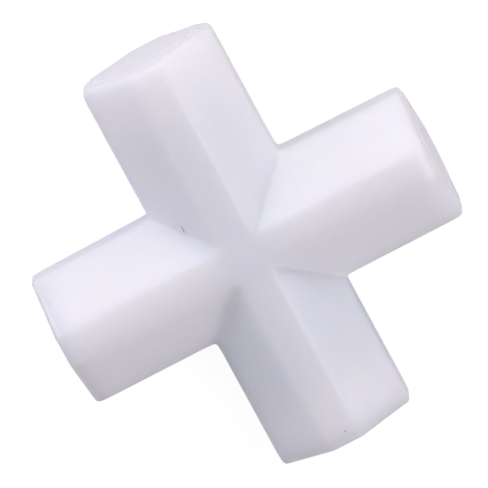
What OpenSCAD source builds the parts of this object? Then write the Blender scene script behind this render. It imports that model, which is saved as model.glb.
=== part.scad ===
// Cross-shaped magnetic stir bar.
// A white PTFE cross, ridged above and below, is moulded round a bar magnet.
// Both arm pairs are eight-sided bars: a flat crest, two slopes and an upright wall on each side.
// Their slopes meet over the hub in mitred valleys. The origin is the centre of the hub.

/* [Arms] */
// Overall length of the arm pair along Y, which holds the magnet
span_long = 38; // [36:0.5:60]
// Overall length of the arm pair along X
span_short = 36.4; // [30:0.2:60]
// Width of an arm between its side walls
arm_w = 12.6; // [11:0.1:15]
// Height of an arm from its lower crest to its upper crest
arm_h = 11.4; // [10:0.1:14]
// Height of the upright side walls
wall_h = 3; // [2:0.1:4]
// Width of the flat crest
crest_w = 3; // [2:0.1:4]

/* [Rounded edges] */
// Radius from a crest or slope round to the end face
end_r = 1.2; // [0.4:0.1:1.4]
// Radius of the upright corners of the end face
corner_r = 0.8; // [0.4:0.1:1.4]
// Radius between a side wall and a slope
shoulder_r = 0.9; // [0.3:0.1:1.4]
// Radius between a slope and the crest
ridge_r = 0.4; // [0.2:0.1:1]
// Radius of the upright hollow corners between two arms
hollow_r = 0.5; // [0.2:0.1:1]

/* [End lands] */
// Margin of flat end face round the raised land
land_margin = 0.2; // [0.1:0.05:0.6]
// Height of the raised land on each end face
land_proud = 0.15; // [0.05:0.05:0.4]

/* [Magnet] */
// Diameter of the bar magnet
magnet_d = 7; // [4:0.5:8]
// Length of the bar magnet
magnet_l = 26; // [20:0.5:32]
// Chamfer on the rims of the magnet
magnet_chamfer = 0.3; // [0.1:0.1:0.6]
// Gap between the magnet and the PTFE moulded round it
magnet_gap = 0.02; // [0.01:0.01:0.1]

/* [Hidden] */
$fn = 64;

half_w = arm_w / 2;
half_h = arm_h / 2;
half_wall = wall_h / 2;
half_crest = crest_w / 2;
right_angle = 90;
quarter_turns = [0 : right_angle : 3 * right_angle];
// A margin that carries a cutter or an extrusion clear of the solid
clear = 1;

// Pitch of the slopes above the horizontal, and their distance from the arm's axis
pitch = atan2(half_h - half_wall, half_w - half_crest);
slope_d = half_w * sin(pitch) + half_wall * cos(pitch);

// The diagonal from the hub's axis out to a hollow corner
diagonal = sqrt(2);
// A valley climbs to the hub under each diagonal, at this angle above the horizontal
valley_climb = atan(tan(pitch) / diagonal);
// The slopes turn by this angle at the valley, and the walls by a right angle
valley_turn = acos(pow(cos(pitch), 2));
// Angle between a valley and the foot of the slope, in the plane of the slope
valley_skew = acos(cos(pitch) / sqrt(1 + pow(cos(pitch), 2)));
// The valley's radius leaves the foot of the slope where the hollow corner's radius does
valley_r = hollow_r * sin(valley_skew) / tan(valley_turn / 2);
// The valley's fillet stops where the rounding of the crest's edge begins
valley_top = half_h - ridge_r * (1 - cos(pitch));
valley_l = (half_w - half_crest) * diagonal / cos(valley_climb);

// Corners of the arm's section, moved inwards by d: the shoulder tops a wall, and the ridge tops a slope
function shoulder(d) = let (x = half_w - d) [x, (slope_d - d - x * sin(pitch)) / cos(pitch)];
function ridge(d) = let (z = half_h - d) [(slope_d - d - z * cos(pitch)) / sin(pitch), z];
// All four mirror images of a point, in the order that walks round the outline
function four(p) = [[p.x, p.y], [-p.x, p.y], [-p.x, -p.y], [p.x, -p.y]];
function outline(d) =
    let (s = four(shoulder(d)), r = four(ridge(d)))
    [s[0], r[0], r[1], s[1], s[2], r[2], r[3], s[3]];

// Section of an arm, with its shoulders and ridges rounded
module arm_section() {
    // Length of wall, slope and crest that each radius takes up
    shoulder_t = shoulder_r * tan((right_angle - pitch) / 2);
    ridge_t = ridge_r * tan(pitch / 2);
    wall_end = four([half_w, half_wall - shoulder_t]);
    slope_foot = four([half_w - shoulder_t * cos(pitch), half_wall + shoulder_t * sin(pitch)]);
    slope_top = four([half_crest + ridge_t * cos(pitch), half_h - ridge_t * sin(pitch)]);
    crest_end = four([half_crest - ridge_t, half_h]);
    polygon([
        wall_end[0], slope_foot[0], slope_top[0], crest_end[0],
        crest_end[1], slope_top[1], slope_foot[1], wall_end[1],
        wall_end[2], slope_foot[2], slope_top[2], crest_end[2],
        crest_end[3], slope_top[3], slope_foot[3], wall_end[3]
    ]);
    for (c = four([half_w - shoulder_r, half_wall - shoulder_t]))
        translate(c) circle(r = shoulder_r);
    for (c = four([half_crest - ridge_t, half_h - ridge_r]))
        translate(c) circle(r = ridge_r);
}

module rounded_rectangle(length, depth, r) {
    square([length - 2 * r, depth], center = true);
    square([length, depth - 2 * r], center = true);
    for (c = four([length / 2 - r, depth / 2 - r]))
        translate(c) circle(r = r);
}

// A block whose upper and lower faces are depth apart and turn down to the ends with radius r
module face_pair(length, depth, r) {
    rotate([right_angle, 0, right_angle])
        linear_extrude(arm_w + arm_h, center = true)
            rounded_rectangle(length, depth, r);
}

// A bar along Y that reaches from one end face to the other, with rounded ends and a land on each
module arm_pair(span) {
    body_l = span - 2 * land_proud;
    intersection() {
        rotate([right_angle, 0, 0])
            linear_extrude(span, center = true)
                arm_section();
        face_pair(body_l, arm_h, end_r);
        rotate([0, right_angle, 0])
            face_pair(body_l, arm_w, corner_r);
        for (side = [-1, 1])
            rotate([0, side * pitch, 0])
                face_pair(body_l, 2 * slope_d, end_r);
    }
    rotate([right_angle, 0, 0])
        linear_extrude(span, center = true)
            polygon(outline(end_r + land_margin));
}

// Fills the foot of a hollow whose faces turn by the given angle, tangent to both with radius r
module fillet_profile(r, turn) {
    reach = r * tan(turn / 2);
    centre = r / cos(turn / 2);
    root = reach / 2;
    difference() {
        polygon([
            [-root, 0],
            [reach * sin(turn / 2), -reach * cos(turn / 2)],
            [centre, 0],
            [reach * sin(turn / 2), reach * cos(turn / 2)]
        ]);
        translate([centre, 0]) circle(r = r);
    }
}

// The upright hollow corner and, above it, the valley that climbs from it to the hub
module hollow_fillets() {
    translate([half_w * diagonal, 0, 0]) {
        linear_extrude(wall_h, center = true)
            fillet_profile(hollow_r, right_angle);
        for (side = [0, 1]) mirror([0, 0, side]) intersection() {
            translate([0, 0, half_wall])
                rotate([0, valley_climb - right_angle, 0])
                    linear_extrude(2 * valley_l, center = true)
                        fillet_profile(valley_r, valley_turn);
            translate([-arm_w - clear, -half_w, half_wall])
                cube([arm_w + 2 * clear, arm_w, valley_top - half_wall]);
        }
    }
}

// The magnet's form about Y, grown by the given gap all over
module magnet_form(gap) {
    radius = magnet_d / 2 + gap;
    half_l = magnet_l / 2 + gap;
    rotate([right_angle, 0, 0])
        rotate_extrude()
            polygon([
                [0, -half_l],
                [radius - magnet_chamfer, -half_l],
                [radius, magnet_chamfer - half_l],
                [radius, half_l - magnet_chamfer],
                [radius - magnet_chamfer, half_l],
                [0, half_l]
            ]);
}

module ptfe_jacket() {
    color("#e9e9f2") difference() {
        union() {
            arm_pair(span_long);
            rotate([0, 0, right_angle]) arm_pair(span_short);
            for (turn = quarter_turns)
                rotate([0, 0, turn + right_angle / 2]) hollow_fillets();
        }
        magnet_form(magnet_gap);
    }
}

module bar_magnet() {
    color("#8d8f94") magnet_form(0);
}

ptfe_jacket();
bar_magnet();
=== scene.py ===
# %% [markdown]
# # A cross-shaped magnetic stir bar
# A stir bar lies in a beaker and is spun by a magnet under the hotplate. This one is a white
# PTFE cross, ridged above and below so that it rests on narrow crests and turns with little
# drag. A bar magnet is sealed inside the longer arm pair. The construction comes from a packed
# CAD part, which fixes the overall sizes. What is modelled here is the skin that the eye sees:
# soft moulded edges, the lands that the mould leaves on the arm ends, a hair-fine nick, and the
# waxy, slightly translucent finish of PTFE.

from math import asin, atan2, cos, degrees, pi, radians, sin

import bpy
from mathutils import Euler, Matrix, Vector


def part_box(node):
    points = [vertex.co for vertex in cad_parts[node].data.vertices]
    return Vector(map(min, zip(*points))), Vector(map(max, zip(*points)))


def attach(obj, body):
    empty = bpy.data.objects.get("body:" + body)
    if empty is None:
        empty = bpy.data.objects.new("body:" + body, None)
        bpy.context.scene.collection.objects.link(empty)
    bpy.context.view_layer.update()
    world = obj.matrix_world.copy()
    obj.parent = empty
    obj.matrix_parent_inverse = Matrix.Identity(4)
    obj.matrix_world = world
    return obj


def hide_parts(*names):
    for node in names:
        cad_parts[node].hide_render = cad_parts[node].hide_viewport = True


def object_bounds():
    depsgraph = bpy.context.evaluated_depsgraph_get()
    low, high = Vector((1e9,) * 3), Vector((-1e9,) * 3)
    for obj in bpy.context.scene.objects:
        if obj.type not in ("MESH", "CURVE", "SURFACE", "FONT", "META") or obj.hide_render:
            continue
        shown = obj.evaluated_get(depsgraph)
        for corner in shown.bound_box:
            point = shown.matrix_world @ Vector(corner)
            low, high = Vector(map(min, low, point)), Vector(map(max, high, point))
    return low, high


MM = 0.001

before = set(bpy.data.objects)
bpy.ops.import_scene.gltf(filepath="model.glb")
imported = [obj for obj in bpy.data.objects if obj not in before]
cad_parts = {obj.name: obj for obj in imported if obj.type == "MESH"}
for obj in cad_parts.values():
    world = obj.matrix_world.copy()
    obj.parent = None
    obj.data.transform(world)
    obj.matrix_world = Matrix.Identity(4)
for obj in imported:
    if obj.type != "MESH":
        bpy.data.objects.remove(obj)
cad_low, cad_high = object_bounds()
print("CAD nodes:", sorted(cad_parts))
print("CAD box in mm:", [round(x / MM, 2) for x in cad_high - cad_low])

# %% [markdown]
# ## Sizes
# The overall sizes are read from the CAD box. The others are the CAD part's own sizes, written
# once here in metres.

# %% Sizes of the moulded cross
span_long = cad_high.y - cad_low.y
span_short = cad_high.x - cad_low.x
arm_h = cad_high.z - cad_low.z
arm_w = 12.6 * MM
wall_h = 3.0 * MM
crest_w = 3.0 * MM

slope_run = (arm_w - crest_w) / 2
slope_rise = (arm_h - wall_h) / 2
pitch = atan2(slope_rise, slope_run)
print("slopes run", round(slope_run / MM, 2), "mm at", round(degrees(pitch), 1), "degrees")

# %% [markdown]
# The roundings and the end lands are small, but they decide how the edges catch the light. Two of
# them differ from the CAD part. On this one bar the shoulders, where a wall meets a slope, are
# crisper, and the lands on the ends are lower.

# %% Sizes of the roundings and the end lands
end_r = 1.2 * MM
corner_r = 0.8 * MM
shoulder_r = 0.6 * MM
ridge_r = 0.4 * MM
hollow_r = 0.5 * MM
land_proud = 0.1 * MM
print("radii in mm:", [round(r / MM, 2) for r in (end_r, corner_r, shoulder_r, ridge_r, hollow_r)])

# %% [markdown]
# ## Small helpers
# Blender's operators work on what is selected, as a hand does. These helpers pick faces and
# points by their place, so that each step below can say in one line what it works on.

# %% Selection helpers
NEAR = 0.001 * MM


def deselect_all():
    """Leaves nothing selected, so that an operator acts on nothing by accident."""
    bpy.ops.object.select_all(action="DESELECT")


def select_faces(piece, wanted):
    """Selects the faces of a piece in edit mode whose centre and normal are wanted."""
    bpy.ops.mesh.select_mode(type="FACE")
    bpy.ops.mesh.select_all(action="DESELECT")
    bpy.ops.object.mode_set(mode="OBJECT")
    chosen = [face for face in piece.data.polygons if wanted(face.center, face.normal)]
    for face in chosen:
        face.select = True
    bpy.ops.object.mode_set(mode="EDIT")
    return len(chosen)


def select_points(piece, wanted):
    """Selects the points of a piece in edit mode that are wanted."""
    bpy.ops.mesh.select_mode(type="VERT")
    bpy.ops.mesh.select_all(action="DESELECT")
    bpy.ops.object.mode_set(mode="OBJECT")
    chosen = [point for point in piece.data.vertices if wanted(point.co)]
    for point in chosen:
        point.select = True
    bpy.ops.object.mode_set(mode="EDIT")
    return len(chosen)


print("places count as the same within", NEAR / MM, "mm")

# %% [markdown]
# ## The cross
# The real jacket is pressed from PTFE powder in a mould and then sintered. It could be made
# from two eight-sided bars joined by a boolean, but that leaves stray edges where they cross.
# One cube, with its four sides pulled out into arms, keeps the faces clean.

# %% Pull four arms out of the hub
UP = Vector((0, 0, 1))
body_long = span_long / 2 - land_proud
body_short = span_short / 2 - land_proud
ARM_ENDS = [
    (Vector((0, 1, 0)), body_long),
    (Vector((1, 0, 0)), body_short),
    (Vector((0, -1, 0)), body_long),
    (Vector((-1, 0, 0)), body_short),
]

deselect_all()
bpy.ops.mesh.primitive_cube_add(size=1)
jacket = bpy.context.object
jacket.name = "moulded_jacket"
jacket.scale = (arm_w, arm_w, wall_h)
bpy.ops.object.transform_apply(scale=True)
bpy.ops.object.mode_set(mode="EDIT")
for way, reach in ARM_ENDS:
    select_faces(jacket, lambda centre, normal: (centre - way * arm_w / 2).length < NEAR)
    bpy.ops.mesh.extrude_region_move(
        TRANSFORM_OT_translate={"value": way * (reach - arm_w / 2)})
bpy.ops.object.mode_set(mode="OBJECT")
print("faces in the slab:", len(jacket.data.polygons))

# %% [markdown]
# The slopes come from one inset of the whole top, raised to the crest. Because the inset keeps
# its width round every corner, the slopes of two arms meet in a straight mitred valley, as the
# real ones do. The ends are then pulled back out, so that they stand upright. A face counts as
# level when nine tenths of its normal point up or down.

# %% Raise the crests
LEVEL = 0.9

bpy.ops.object.mode_set(mode="EDIT")
for side in (1, -1):
    select_faces(jacket, lambda centre, normal: normal.z * side > LEVEL)
    bpy.ops.mesh.inset(thickness=slope_run, use_even_offset=True)
    bpy.ops.transform.translate(value=(0, 0, side * slope_rise))
for way, reach in ARM_ENDS:
    select_points(jacket, lambda point: abs(abs(point.z) - arm_h / 2) < NEAR
                  and abs(point.dot(way) - reach + slope_run) < NEAR)
    bpy.ops.transform.translate(value=way * slope_run)
    select_faces(jacket, lambda centre, normal: abs(centre.dot(way) - reach) < NEAR)
    bpy.ops.mesh.dissolve_faces()
bpy.ops.object.mode_set(mode="OBJECT")
print("faces in the sharp cross:", len(jacket.data.polygons))

# %% [markdown]
# ## Soft edges
# PTFE comes out of its mould with every edge a little round, and not all by the same amount: the
# arm ends are well rounded, the crests' edges are almost crisp, and the hollows are tight. A
# bevel would leave a seam where two radii meet. A subdivision surface rounds every edge by as
# much room as the nearest parallel edges leave it, and blends the corners by itself. So each
# edge gets a holding edge on both sides, and its distance sets the rounding. The subdivision sinks
# a sharp edge by a third of the height at which it stands over its two holding edges, and a
# rounding of a given radius cuts off a known height too, so the two are set equal.

# %% Work out the holding distances
SINK_DIVISOR = 3


def hold(radius, turn):
    """Distance of the holding edges at which an edge of this turn gets this radius."""
    cut_off = radius * (1 / cos(turn / 2) - 1)
    return SINK_DIVISOR * cut_off / sin(turn / 2)


quarter_turn = pi / 2
rim_hold = hold(end_r, quarter_turn)
corner_hold = hold(corner_r, quarter_turn)
ridge_hold = hold(ridge_r, pitch)
shoulder_hold = hold(shoulder_r, quarter_turn - pitch)
hollow_hold = hold(hollow_r, quarter_turn)
print("holding distances in mm:", [round(distance / MM, 2) for distance in (
      rim_hold, corner_hold, ridge_hold, shoulder_hold, hollow_hold)])

# %% [markdown]
# The holding edges are cut with planes, as with a fine saw. Level cuts run round the whole cross,
# and upright ones lie beside the crests, beside the valleys and just short of each arm's end. The
# end faces aren't cut, so that each one stays a single face for the land.

# %% Cut the holding edges
def on_an_end(centre):
    """Says whether a face lies on the flat end of an arm."""
    return any(abs(centre.dot(way) - reach) < NEAR for way, reach in ARM_ENDS)


def cut(piece, wanted, point, normal):
    """Cuts the wanted faces along a plane, which lays a row of edges across them."""
    select_faces(piece, lambda centre, facing: wanted(centre, facing) and not on_an_end(centre))
    bpy.ops.mesh.bisect(plane_co=point, plane_no=normal, threshold=NEAR)


heights = [arm_h / 2 - ridge_hold * sin(pitch), wall_h / 2 + shoulder_hold * sin(pitch),
           wall_h / 2 - shoulder_hold]
bpy.ops.object.mode_set(mode="EDIT")
for side in (1, -1):
    for height in heights:
        cut(jacket, lambda centre, facing: abs(facing.z) < LEVEL, side * height * UP, UP)
for way, reach in ARM_ENDS:
    cut(jacket, lambda centre, facing: abs(facing.z) > LEVEL, way * (crest_w / 2 - ridge_hold), way)
for way, reach in ARM_ENDS:
    across = way.cross(UP)
    cut(jacket, lambda centre, facing: abs(facing.z) > LEVEL and centre.dot(way) > crest_w / 2,
        way * (crest_w / 2 + hollow_hold), way)
    for flank in (across, -across):
        cut(jacket, lambda centre, facing: abs(facing.z) < LEVEL
            and centre.dot(way) > centre.dot(flank) > 0, way * hollow_hold, way - flank)
    cut(jacket, lambda centre, facing: centre.dot(way) > arm_w / 2, way * (reach - rim_hold), way)
    select_points(jacket, lambda point: abs(point.dot(way) - reach + rim_hold) < NEAR
                  and abs(abs(point.dot(across)) - arm_w / 2) < NEAR)
    bpy.ops.transform.translate(value=way * (rim_hold - corner_hold))
bpy.ops.object.mode_set(mode="OBJECT")
print("faces in the cage:", len(jacket.data.polygons))

# %% [markdown]
# Each arm ends in a flat face with a low land on it, where the mould's end plate was let in. The
# land is nearly as wide as the arm but only two thirds of its height, and it sits half a millimetre
# low, as a plate with some play leaves it. The end face is drawn inwards twice, by extrude and
# scale. A first ring holds the rounding of the arm's end, and a second one is the foot of the land,
# which is then pushed out. Both outlines of the land are creased a little, so that the subdivision
# leaves its rim just round enough to catch a fine line of light.

# %% Raise a land on each end
HOLD_ACROSS, HOLD_UP, HOLD_DROP = 0.885, 0.82, 0.13 * MM
LAND_ACROSS, LAND_UP, LAND_DROP = 0.85, 0.667, 0.55 * MM
FOOT_CREASE = 0.7
RIM_CREASE = 0.4
MIDDLE = arm_h / 10


def select_end(way, reach):
    """Selects the innermost face on the end of an arm, which lies about the arm's middle."""
    select_faces(jacket, lambda centre, normal: abs(centre.dot(way) - reach) < NEAR
                 and abs(centre.dot(way.cross(UP))) < NEAR and abs(centre.z) < MIDDLE)


def draw_in(way, reach, across, up, drop):
    """Draws the end face of an arm inwards to these shares of its size, and lowers it."""
    select_end(way, reach)
    bpy.ops.mesh.extrude_region_move()
    bpy.ops.transform.resize(value=(1 if way.x else across, 1 if way.y else across, up))
    bpy.ops.transform.translate(value=(0, 0, -drop))


bpy.ops.object.mode_set(mode="EDIT")
for way, reach in ARM_ENDS:
    draw_in(way, reach, HOLD_ACROSS, HOLD_UP, HOLD_DROP)
    draw_in(way, reach, LAND_ACROSS / HOLD_ACROSS, LAND_UP / HOLD_UP, LAND_DROP - HOLD_DROP)
    bpy.ops.mesh.region_to_loop()
    bpy.ops.transform.edge_crease(value=FOOT_CREASE)
    select_end(way, reach)
    bpy.ops.mesh.extrude_region_move(TRANSFORM_OT_translate={"value": way * land_proud})
    bpy.ops.mesh.region_to_loop()
    bpy.ops.transform.edge_crease(value=RIM_CREASE)
bpy.ops.object.mode_set(mode="OBJECT")
print("faces with the lands:", len(jacket.data.polygons))

# %% [markdown]
# A moulded part is never quite true. The walls on one side of the shorter arms lie a little further
# in than the others, by a tenth of a millimetre at the hub and by two or three at the arm's tip,
# which is enough to show in the outline against a white ground. Their points are pushed in, with
# the feet of the slopes above and below them, while the cage still has few of them.

# %% Push two walls in
SLACK_WALLS = [
    (Vector((0, 1, 0)), Vector((1, 0, 0)), 0.11 * MM, 0.22 * MM),
    (Vector((0, 1, 0)), Vector((-1, 0, 0)), 0.14 * MM, 0.30 * MM),
]

bpy.ops.object.mode_set(mode="EDIT")
for out, along, at_hub, at_tip in SLACK_WALLS:
    for low, high, push in ((arm_w / 2 - NEAR, body_short / 2, at_hub),
                            (body_short / 2, body_long + NEAR, at_tip)):
        moved = select_points(jacket, lambda point: low < point.dot(along) < high
                              and point.dot(out) > arm_w / 2 - shoulder_hold)
        bpy.ops.transform.translate(value=-out * push)
        print("points pushed in by", round(push / MM, 2), "mm:", moved)
bpy.ops.object.mode_set(mode="OBJECT")

# %% [markdown]
# Now the subdivision surface rounds the cage. Three levels turn each face into 64, which keeps the
# roundings smooth in a close view. The modifier is applied at once, because the steps that follow
# work on the faces that it makes.

# %% Round everything
ROUNDING_LEVELS = 3


def make_active(piece):
    """Selects one piece alone and makes it the one that operators work on."""
    deselect_all()
    piece.select_set(True)
    bpy.context.view_layer.objects.active = piece


def apply_modifier(piece, kind, **settings):
    """Adds a modifier with its settings and applies it at once."""
    make_active(piece)
    modifier = piece.modifiers.new(kind.lower(), kind)
    for name, value in settings.items():
        setattr(modifier, name, value)
    bpy.ops.object.modifier_apply(modifier=modifier.name)


apply_modifier(jacket, "SUBSURF", levels=ROUNDING_LEVELS, render_levels=ROUNDING_LEVELS)
print("faces after rounding:", len(jacket.data.polygons))

# %% [markdown]
# ## Room for the magnet
# The jacket is moulded round its magnet. Light sinks some millimetres into PTFE, so the dark
# magnet below the skin takes a little of it away. That only happens here if the jacket is truly
# hollow, so a pocket of the magnet's size is taken out with a boolean.

# %% Take out the pocket
magnet_low, magnet_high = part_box("bar_magnet")
pocket_gap = 0.02 * MM
pocket_r = (magnet_high.x - magnet_low.x) / 2 + pocket_gap
pocket_l = magnet_high.y - magnet_low.y + 2 * pocket_gap
pocket_chamfer = 0.3 * MM
POCKET_SIDES = 64
RIM_TURN = radians(60)

deselect_all()
bpy.ops.mesh.primitive_cylinder_add(vertices=POCKET_SIDES, radius=pocket_r, depth=pocket_l,
                                    rotation=(quarter_turn, 0, 0))
pocket = bpy.context.object
bpy.ops.object.transform_apply(rotation=True)
apply_modifier(pocket, "BEVEL", width=pocket_chamfer, segments=1, limit_method="ANGLE",
               angle_limit=RIM_TURN)
apply_modifier(jacket, "BOOLEAN", operation="DIFFERENCE", object=pocket, solver="EXACT")
bpy.data.objects.remove(pocket)
print("faces with the pocket:", len(jacket.data.polygons))

# %% [markdown]
# ## Marks of use
# PTFE is soft, and a bar that is picked up with tweezers gets nicked. Each mark is cut by a boolean
# with a small solid. The cutters carry a darker material of their own, painted shade for the shade
# inside the mark, which the boolean hands on to the faces that they cut, so the jacket gets its own
# materials first.

# %% Materials of the jacket and a helper for the marks
ptfe = bpy.data.materials.new("moulded_ptfe")
rim = bpy.data.materials.new("moulded_ptfe_rim")
sides = bpy.data.materials.new("dull_ptfe_sides")
# The marks get a darker material, which is painted shade in the nick and the speck.
marks_shade = bpy.data.materials.new("painted_shade_in_the_marks")
for material in (ptfe, rim, sides):
    jacket.data.materials.append(material)


def cut_mark(cutter):
    """Takes a cutter out of the jacket and hands its material on to the cut."""
    cutter.data.materials.append(marks_shade)
    apply_modifier(jacket, "BOOLEAN", operation="DIFFERENCE", object=cutter, solver="EXACT",
                   material_mode="TRANSFER")
    bpy.data.objects.remove(cutter)
    marked = sum(jacket.data.materials[face.material_index] == marks_shade
                 for face in jacket.data.polygons)
    print("faces of the jacket:", len(jacket.data.polygons), "of which in marks:", marked)


# %% [markdown]
# One hair-fine nick crosses a slope close to a valley. The tip of a tweezer drags a groove that is
# deepest in its middle. A straight cutter would leave square ends, so a thin bowed wire is made:
# a small circle is spun along a flat arc that lies in the slope, and cuts in with half of itself.

# %% Lay out the nick
NICK_START = Vector((-3.93, 4.83, 0)) * MM
NICK_END = Vector((-3.90, 4.05, 0)) * MM
NICK_BOW = 0.06 * MM
ALONG_ARM = Vector((0, 1, 0))
slope_out = Vector((-sin(pitch), 0, cos(pitch)))
slope_up = Vector((cos(pitch), 0, sin(pitch)))


def on_slope(point):
    """Lifts a point of the plan to the upper slope on the -X side of the +Y arm."""
    return Vector((point.x, point.y, arm_h / 2 + (crest_w / 2 + point.x) * slope_rise / slope_run))


half_nick = (NICK_END - NICK_START).length / 2
bow_r = (half_nick ** 2 + NICK_BOW ** 2) / (2 * NICK_BOW)
half_turn = asin(half_nick / bow_r)
bow_centre = on_slope((NICK_START + NICK_END) / 2) + slope_up * (NICK_BOW - bow_r)
start = bow_centre + (ALONG_ARM * sin(half_turn) + slope_up * cos(half_turn)) * bow_r
tangent = ALONG_ARM * cos(half_turn) - slope_up * sin(half_turn)
print("radius of the nick's bow in mm:", round(bow_r / MM, 2))

# %% Cut the nick
NICK_WIRE_R = 0.05 * MM
NICK_WIRE_SIDES = 8
NICK_STEPS = 12

deselect_all()
bpy.ops.mesh.primitive_circle_add(
    vertices=NICK_WIRE_SIDES, radius=NICK_WIRE_R, fill_type="NGON", location=start,
    rotation=tangent.to_track_quat("Z", "Y").to_euler())
wire = bpy.context.object
bpy.ops.object.transform_apply(location=True, rotation=True)
bpy.ops.object.mode_set(mode="EDIT")
bpy.ops.mesh.select_all(action="SELECT")
bpy.ops.mesh.spin(steps=NICK_STEPS, angle=2 * half_turn, center=bow_centre, axis=slope_out)
bpy.ops.mesh.select_all(action="SELECT")
bpy.ops.mesh.normals_make_consistent(inside=False)
bpy.ops.object.mode_set(mode="OBJECT")
print("size of the nick's wire in mm:", [round(x / MM, 2) for x in wire.dimensions])
cut_mark(wire)

# %% [markdown]
# A speck is pressed into one crest near its end, where a grain of sand was caught under the bar. A
# ball that sinks half into the skin leaves such a dimple.

# %% Press in the speck
SPECK_AT = Vector((0.304, -17.607, 5.675)) * MM
SPECK_R = 0.08 * MM
SPECK_SEGMENTS, SPECK_RINGS = 12, 8

deselect_all()
bpy.ops.mesh.primitive_uv_sphere_add(segments=SPECK_SEGMENTS, ring_count=SPECK_RINGS,
                                     radius=SPECK_R, location=SPECK_AT)
cut_mark(bpy.context.object)

# %% [markdown]
# The finish isn't the same all over. The upright side walls and end faces slide along the mould
# when the bar is pushed out, and lose most of their gloss, and their edges stay crisp. The rims of
# the lands are too fine for the softened normals that the other surfaces get further down. So the
# sides and the rims each get a material of their own, and both keep the normals of the mesh.

# %% Give the sides and the rims their own materials
RIM_SLOT, SIDES_SLOT = 1, 2
UPRIGHT = 0.5
RIM_SHARES = (0.05, 0.95)
rim_low, rim_high = [share * land_proud for share in RIM_SHARES]


def give_material(index, wanted):
    """Gives the wanted faces of the jacket the material in this slot."""
    count = select_faces(jacket, wanted)
    jacket.active_material_index = index
    bpy.ops.object.material_slot_assign()
    return count


def on_a_side(centre, normal):
    """Says whether a face lies on an upright wall or end of the cross."""
    outside = abs(centre.x) > arm_w / 2 - shoulder_r or abs(centre.y) > body_long - end_r / 2
    return outside and abs(normal.z) < UPRIGHT


bpy.ops.object.mode_set(mode="EDIT")
print("faces of the sides:", give_material(SIDES_SLOT, on_a_side))
print("faces of the rims:", give_material(RIM_SLOT, lambda centre, normal: any(
      rim_low < centre.dot(way) - reach < rim_high for way, reach in ARM_ENDS)))
bpy.ops.object.mode_set(mode="OBJECT")

# %% [markdown]
# The jacket is one rigid piece, so it rides on the root body. It stands in for the plain jacket of
# the CAD part, whose shape it repeats, and that node is hidden.

# %% Shade it smooth and put it in the frame
SMOOTH_UP_TO = radians(35)

make_active(jacket)
bpy.ops.object.shade_smooth_by_angle(angle=SMOOTH_UP_TO)
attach(jacket, "root")
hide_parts("ptfe_jacket")
print("size of the jacket in mm:", [round(x / MM, 2) for x in jacket.dimensions])

# %% [markdown]
# ## Materials
# A helper adds a node with its settings and links, and another turns a colour as it is written
# for a screen into the linear values that the shader works in.

# %% Material helpers
def linear(hex_colour):
    """Linear RGBA of an sRGB colour such as #F1EEF5, by the sRGB standard's own formula."""
    def channel(part):
        value = int(part, 16) / 255
        return value / 12.92 if value <= 0.04045 else ((value + 0.055) / 1.055) ** 2.4
    return [channel(hex_colour[i:i + 2]) for i in (1, 3, 5)] + [1]


def add(tree, kind, links=(), inputs=(), **settings):
    """Adds a node, sets its own settings and inputs, and links other sockets to its inputs."""
    node = tree.nodes.new(kind)
    for name, value in settings.items():
        setattr(node, name, value)
    for name, value in dict(inputs).items():
        node.inputs[name].default_value = value
    for name, source in dict(links).items():
        tree.links.new(source, node.inputs[name])
    return node


def empty_tree(owner):
    """Switches the nodes of a material or world on and clears them."""
    owner.use_nodes = True
    owner.node_tree.nodes.clear()
    return owner.node_tree


print("middle grey of a screen in linear light:", round(linear("#808080")[0], 3))

# %% [markdown]
# PTFE is a waxy white plastic, pressed from powder and sintered. Its crystals scatter light deep
# inside it, so it looks milky: shading is blurred over some millimetres, and the dark magnet
# takes a little light from the arms above it. Red light gets furthest, so that shade is bluish.
# Only the thin gloss of the skin is sharp. PTFE's IOR of 1.35 gives little of it, but a polished
# mould packs the skin densely, so the gloss starts from the 1.5 of a common plastic.

# %% Values of moulded PTFE
PTFE_WHITE = "#F4F1F8"
PTFE_MILK = "#F1EFF5"
PTFE_IOR = 1.35
PTFE_ROUGHNESS = 0.6
SCATTER = 3.0 * MM
RED_GREEN_BLUE_SCATTER = (1.35, 1.15, 0.85)
CLOUD = 4.0 * MM
CLOUD_DETAIL = 2.0
POWDER_GRAIN = 0.4 * MM
POWDER_DETAIL = 1.0
PEBBLE_HEIGHT = 0.05 * MM
SKIN_IOR = 1.5
SKIN_ROUGHNESS = 0.25
FULL_GLOSS, RIM_GLOSS, DULL_GLOSS = 1.0, 0.4, 0.05
print("light spreads in mm, red, green, blue:",
      [round(SCATTER * share / MM, 2) for share in RED_GREEN_BLUE_SCATTER])

# %% [markdown]
# Scattered light forgets the sharp corner that it entered by, so a ridge in the shade has a soft
# change of tone. A Bevel node blurs the normals over that reach, without touching the mesh. Where
# two slopes meet in a valley the tone does change sharply, so the reach shrinks close to one. The
# top of the hub keeps its soft tone, and so does the valley towards -X and -Y, which looks softer
# than the others on this bar. A valley runs where X and Y are equally far from zero, so the nodes
# measure how much they differ.

# %% Softened normals
SOFTENING = 2.6 * MM
VALLEY_SOFTENING = 0.4 * MM
VALLEY_REACH = 2.4 * MM
SOFT_HUB = 2.8 * MM
TO_SOFT_VALLEY = (-1, -1, 0)
BLUR_SAMPLES = 4


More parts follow.
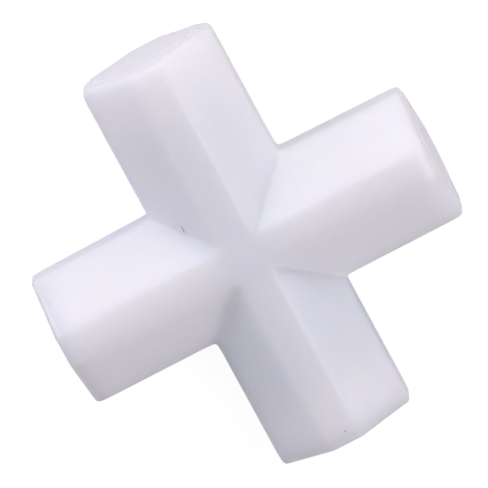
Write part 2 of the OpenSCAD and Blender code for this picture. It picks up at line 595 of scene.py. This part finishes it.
def soften(tree, place):
    """Gives normals that a Bevel node has blurred, but less so close to a crisp valley."""
    flat = add(tree, "ShaderNodeVectorMath", operation="ABSOLUTE", links={0: place})
    wide, deep, _ = add(tree, "ShaderNodeSeparateXYZ", links={0: flat.outputs[0]}).outputs
    near, far = [add(tree, "ShaderNodeMath", operation=operation,
                     links={0: wide, 1: deep}).outputs[0] for operation in ("MINIMUM", "MAXIMUM")]
    gap = add(tree, "ShaderNodeMath", operation="SUBTRACT", links={0: far, 1: near}).outputs[0]
    in_hub = add(tree, "ShaderNodeMath", operation="SUBTRACT",
                 inputs={0: SOFT_HUB}, links={1: near}).outputs[0]
    to_soft = add(tree, "ShaderNodeVectorMath", operation="DOT_PRODUCT",
                  inputs={1: TO_SOFT_VALLEY}, links={0: place}).outputs["Value"]
    for extra in (in_hub, to_soft):
        extra = add(tree, "ShaderNodeMath", operation="MAXIMUM",
                    inputs={1: 0.0}, links={0: extra}).outputs[0]
        gap = add(tree, "ShaderNodeMath", operation="ADD", links={0: gap, 1: extra}).outputs[0]
    reach = add(tree, "ShaderNodeMapRange", links={"Value": gap}, inputs={
        "From Max": VALLEY_REACH, "To Min": VALLEY_SOFTENING, "To Max": SOFTENING})
    return add(tree, "ShaderNodeBevel", samples=BLUR_SAMPLES,
               links={"Radius": reach.outputs[0]}).outputs[0]


# %% [markdown]
# The body of the shader is all subsurface scattering, and a coat layer carries the gloss. The white
# drifts a little from cloud to cloud, as sintered powder does. The skin is faintly pebbled by the
# powder grains, which only the gloss shows.

# %% Moulded PTFE
def mix_ptfe(material, soft, gloss):
    """Gives a material the PTFE shader, with or without softened normals below its gloss."""
    tree = empty_tree(material)
    place = add(tree, "ShaderNodeTexCoord").outputs["Object"]
    cloud = add(tree, "ShaderNodeTexNoise", links={"Vector": place},
                inputs={"Scale": 1 / CLOUD, "Detail": CLOUD_DETAIL})
    tint = add(tree, "ShaderNodeMix", data_type="RGBA", links={"Factor": cloud.outputs["Fac"]},
               inputs={6: linear(PTFE_MILK), 7: linear(PTFE_WHITE)})
    grain = add(tree, "ShaderNodeTexNoise", links={"Vector": place},
                inputs={"Scale": 1 / POWDER_GRAIN, "Detail": POWDER_DETAIL})
    pebbles = add(tree, "ShaderNodeBump", links={"Height": grain.outputs["Fac"]},
                  inputs={"Distance": PEBBLE_HEIGHT})
    shader = add(tree, "ShaderNodeBsdfPrincipled", inputs={
        "Roughness": PTFE_ROUGHNESS, "IOR": PTFE_IOR, "Specular IOR Level": 0.0,
        "Subsurface Weight": 1.0, "Subsurface Radius": RED_GREEN_BLUE_SCATTER,
        "Subsurface Scale": SCATTER,
        "Coat Weight": gloss, "Coat IOR": SKIN_IOR, "Coat Roughness": SKIN_ROUGHNESS},
        links={"Base Color": tint.outputs[2], "Coat Normal": pebbles.outputs[0]})
    if soft:
        tree.links.new(soften(tree, place), shader.inputs["Normal"])
    add(tree, "ShaderNodeOutputMaterial", links={"Surface": shader.outputs[0]})
    print(material.name, "has", len(tree.nodes), "nodes")


mix_ptfe(ptfe, soft=True, gloss=FULL_GLOSS)
mix_ptfe(rim, soft=False, gloss=RIM_GLOSS)
mix_ptfe(sides, soft=False, gloss=DULL_GLOSS)

# %% [markdown]
# The faces of the marks are matt and a little darker than the PTFE round them. This darker colour
# is painted shade: it stands in for the shade that falls into the narrow groove and the dimple. A
# fine noise breaks the painted shade up.

# %% Painted shade in the marks
MARK_SHADE_LIGHT = "#D8D4DC"
MARK_SHADE_DARK = "#B8B4BE"
MARK_SHADE_GRAIN = 0.1 * MM
MARK_SHADE_DETAIL = 1.0
MARK_ROUGHNESS = 0.8
tree = empty_tree(marks_shade)
place = add(tree, "ShaderNodeTexCoord").outputs["Object"]
mottle = add(tree, "ShaderNodeTexNoise", links={"Vector": place},
             inputs={"Scale": 1 / MARK_SHADE_GRAIN, "Detail": MARK_SHADE_DETAIL})
shade_tone = add(tree, "ShaderNodeMix", data_type="RGBA", links={"Factor": mottle.outputs["Fac"]},
           inputs={6: linear(MARK_SHADE_DARK), 7: linear(MARK_SHADE_LIGHT)})
shader = add(tree, "ShaderNodeBsdfPrincipled", inputs={"Roughness": MARK_ROUGHNESS},
             links={"Base Color": shade_tone.outputs[2]})
add(tree, "ShaderNodeOutputMaterial", links={"Surface": shader.outputs[0]})
print(marks_shade.name, "has", len(tree.nodes), "nodes")

# %% [markdown]
# The magnet is cast from Alnico, a brittle grey alloy, and ground to size between wheels. Its own
# CAD shape is right, so it stays and only gets a finish: grey metal with fine lines that run round
# the bar. The lines are a noise that is stretched round the bar and squeezed along it, and they
# change the roughness and the height a little. Real grinding lines are some hundredths of a
# millimetre apart. They are drawn coarser here, so that a close view still shows them.

# %% Ground Alnico
ALNICO_GREY = "#8D8F94"
ALNICO_DARK = "#7B7D83"
GRIND_PITCH = 0.25 * MM
GRIND_LENGTH = 4.0 * MM
GRIND_DEPTH = 0.002 * MM
GRIND_DETAIL, GRIND_BREAKUP = 3.0, 0.6
GROUND_ROUGHNESS, POLISHED_ROUGHNESS = 0.5, 0.34
alnico = bpy.data.materials.new("ground_alnico")
tree = empty_tree(alnico)
place = add(tree, "ShaderNodeTexCoord").outputs["Object"]
stretched = add(tree, "ShaderNodeMapping", links={"Vector": place}, inputs={
    "Scale": (1 / GRIND_LENGTH, 1 / GRIND_PITCH, 1 / GRIND_LENGTH)})
lines = add(tree, "ShaderNodeTexNoise", links={"Vector": stretched.outputs[0]},
            inputs={"Scale": 1.0, "Detail": GRIND_DETAIL, "Roughness": GRIND_BREAKUP})
metal = add(tree, "ShaderNodeMix", data_type="RGBA", links={"Factor": lines.outputs["Fac"]},
            inputs={6: linear(ALNICO_DARK), 7: linear(ALNICO_GREY)})
polish = add(tree, "ShaderNodeMapRange", links={"Value": lines.outputs["Fac"]},
             inputs={"To Min": GROUND_ROUGHNESS, "To Max": POLISHED_ROUGHNESS})
scratches = add(tree, "ShaderNodeBump", links={"Height": lines.outputs["Fac"]},
                inputs={"Distance": GRIND_DEPTH})
shader = add(tree, "ShaderNodeBsdfPrincipled", inputs={"Metallic": 1.0}, links={
    "Base Color": metal.outputs[2], "Roughness": polish.outputs[0],
    "Normal": scratches.outputs[0]})
add(tree, "ShaderNodeOutputMaterial", links={"Surface": shader.outputs[0]})
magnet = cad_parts["bar_magnet"]
magnet.data.materials.clear()
magnet.data.materials.append(alnico)
print(magnet.name, "gets", alnico.name, "with", len(tree.nodes), "nodes")

# %% [markdown]
# ## The studio
# The bar lies on a pale sheet of paper in a light tent. The sheet is one large plane that touches
# the lower crests.

# %% Floor
FLOOR_SIZE = 3.0

deselect_all()
bpy.ops.mesh.primitive_plane_add(size=FLOOR_SIZE, location=(0, 0, cad_low.z))
floor = bpy.context.object
floor.name = "studio_floor"
bpy.ops.object.transform_apply(location=True)
print("floor at", round(cad_low.z / MM, 2), "mm")

# %% [markdown]
# Brightly lit paper burns out to plain white, while the bar on it only gets the grey share of the
# light that paper throws back. So the paper has two faces: the camera and gloss see one that glows
# white and keeps a trace of the bar's shadow, and all other light meets plain grey paper.

# %% White paper
def seen_directly(tree):
    """Is 1 where the camera, a reflection or clear material looks straight at a surface."""
    path = add(tree, "ShaderNodeLightPath")
    seen = path.outputs["Is Camera Ray"]
    for ray in ("Is Glossy Ray", "Is Transmission Ray"):
        seen = add(tree, "ShaderNodeMath", operation="MAXIMUM",
                   links={0: seen, 1: path.outputs[ray]}).outputs[0]
    return seen


PAPER_GREY = "#C8C8CC"
PAPER_GLOW = 0.93
PAPER_SHADE = 0.15
paper = bpy.data.materials.new("white_paper")
tree = empty_tree(paper)
plain = add(tree, "ShaderNodeBsdfDiffuse", inputs={"Color": linear(PAPER_GREY)})
shade = add(tree, "ShaderNodeBsdfDiffuse", inputs={"Color": [PAPER_SHADE] * 3 + [1]})
glow = add(tree, "ShaderNodeEmission", inputs={"Strength": PAPER_GLOW})
white = add(tree, "ShaderNodeAddShader", links={0: shade.outputs[0], 1: glow.outputs[0]})
mix = add(tree, "ShaderNodeMixShader",
          links={0: seen_directly(tree), 1: plain.outputs[0], 2: white.outputs[0]})
add(tree, "ShaderNodeOutputMaterial", links={"Surface": mix.outputs[0]})
floor.data.materials.append(paper)
print(paper.name, "has", len(tree.nodes), "nodes")

# %% [markdown]
# The cloth of the tent fills in a little light from all round. It has two faces as well: the camera
# and gloss see plain cloth, a little less bright than the paper.

# %% Walls of the tent
TENT_WHITE = "#FFFFFF"
TENT_LIGHT = 0.1
CLOTH_SEEN = 0.8
world = bpy.data.worlds.new("light_tent")
bpy.context.scene.world = world
tree = empty_tree(world)
room = add(tree, "ShaderNodeBackground",
           inputs={"Color": linear(TENT_WHITE), "Strength": TENT_LIGHT})
cloth = add(tree, "ShaderNodeBackground", inputs={"Color": [CLOTH_SEEN] * 3 + [1]})
mix = add(tree, "ShaderNodeMixShader",
          links={0: seen_directly(tree), 1: room.outputs[0], 2: cloth.outputs[0]})
add(tree, "ShaderNodeOutputWorld", links={"Surface": mix.outputs[0]})
print(world.name, "has", len(tree.nodes), "nodes")

# %% [markdown]
# A broad lamp hangs over the bar, and one softbox hangs high at its left. Lower ones stand behind
# it, at its right and in front, so that every face gets light and no shadow is hard. The ones at
# the left and behind stand nearer, so that their light fades along the bar. A lamp's size keeps to
# its distance, so that all of them look equally broad from the bar.

# %% Lamps
LAMP_DISTANCE = 0.75
LAMP_SPREAD = 0.53


def add_lamp(name, way, power, colour, distance=LAMP_DISTANCE):
    """Adds a square softbox that shines at the bar from one way."""
    light = bpy.data.lights.new(name, "AREA")
    light.size = LAMP_SPREAD * distance
    light.energy = power
    light.color = linear(colour)[:3]
    lamp = bpy.data.objects.new(name, light)
    bpy.context.scene.collection.objects.link(lamp)
    lamp.location = Vector(way).normalized() * distance
    lamp.rotation_euler = (-lamp.location).to_track_quat("-Z", "Y").to_euler()
    lamp.visible_camera = False
    print(name, "is", round(light.size, 2), "m wide and", round(lamp.location.z, 2), "m up")


add_lamp("overhead_lamp", (0.44, 0, 0.9), 2.27, "#FFF3FA")
add_lamp("upper_left_softbox", (-0.6, 0.4, 0.7), 0.29, "#E2F2FF", distance=0.4)
add_lamp("back_left_softbox", (-0.69, 0.69, 0.21), 0.184, "#FFEEFF", distance=0.25)
add_lamp("back_softbox", (0.1, 0.91, 0.4), 0.34, "#E4FAFF", distance=0.4)
add_lamp("back_right_softbox", (0.69, 0.69, 0.21), 0.36, "#FFE4DA", distance=0.4)
add_lamp("right_softbox", (0.98, 0, 0.21), 0.896, "#D3EBFF")
add_lamp("front_softbox", (0.16, -0.97, 0.21), 1.19, "#F2F4FF")

# %% [markdown]
# The camera looks almost straight down, through a long lens, as for a catalogue. It leans just
# enough to show two of the end faces.

# %% Camera
VIEW_TURN = Euler([radians(angle) for angle in (-12.93, -0.18, -27.93)])
VIEW_DISTANCE = 0.8716
VIEW_SHIFT = (-0.220 * MM, -0.021 * MM)
SENSOR = 36.0
LENS = 738.0

camera_data = bpy.data.cameras.new("view")
camera_data.sensor_width = SENSOR
camera_data.lens = LENS
camera = bpy.data.objects.new("view", camera_data)
bpy.context.scene.collection.objects.link(camera)
camera.rotation_euler = VIEW_TURN
camera.location = VIEW_TURN.to_matrix() @ Vector((*VIEW_SHIFT, VIEW_DISTANCE))
bpy.context.scene.camera = camera
print("camera at, in m:", [round(x, 3) for x in camera.location])

# %% [markdown]
# Colours are shown as they are mixed, without a film look.

# %% Show colours as they are mixed
bpy.context.scene.view_settings.view_transform = "Standard"
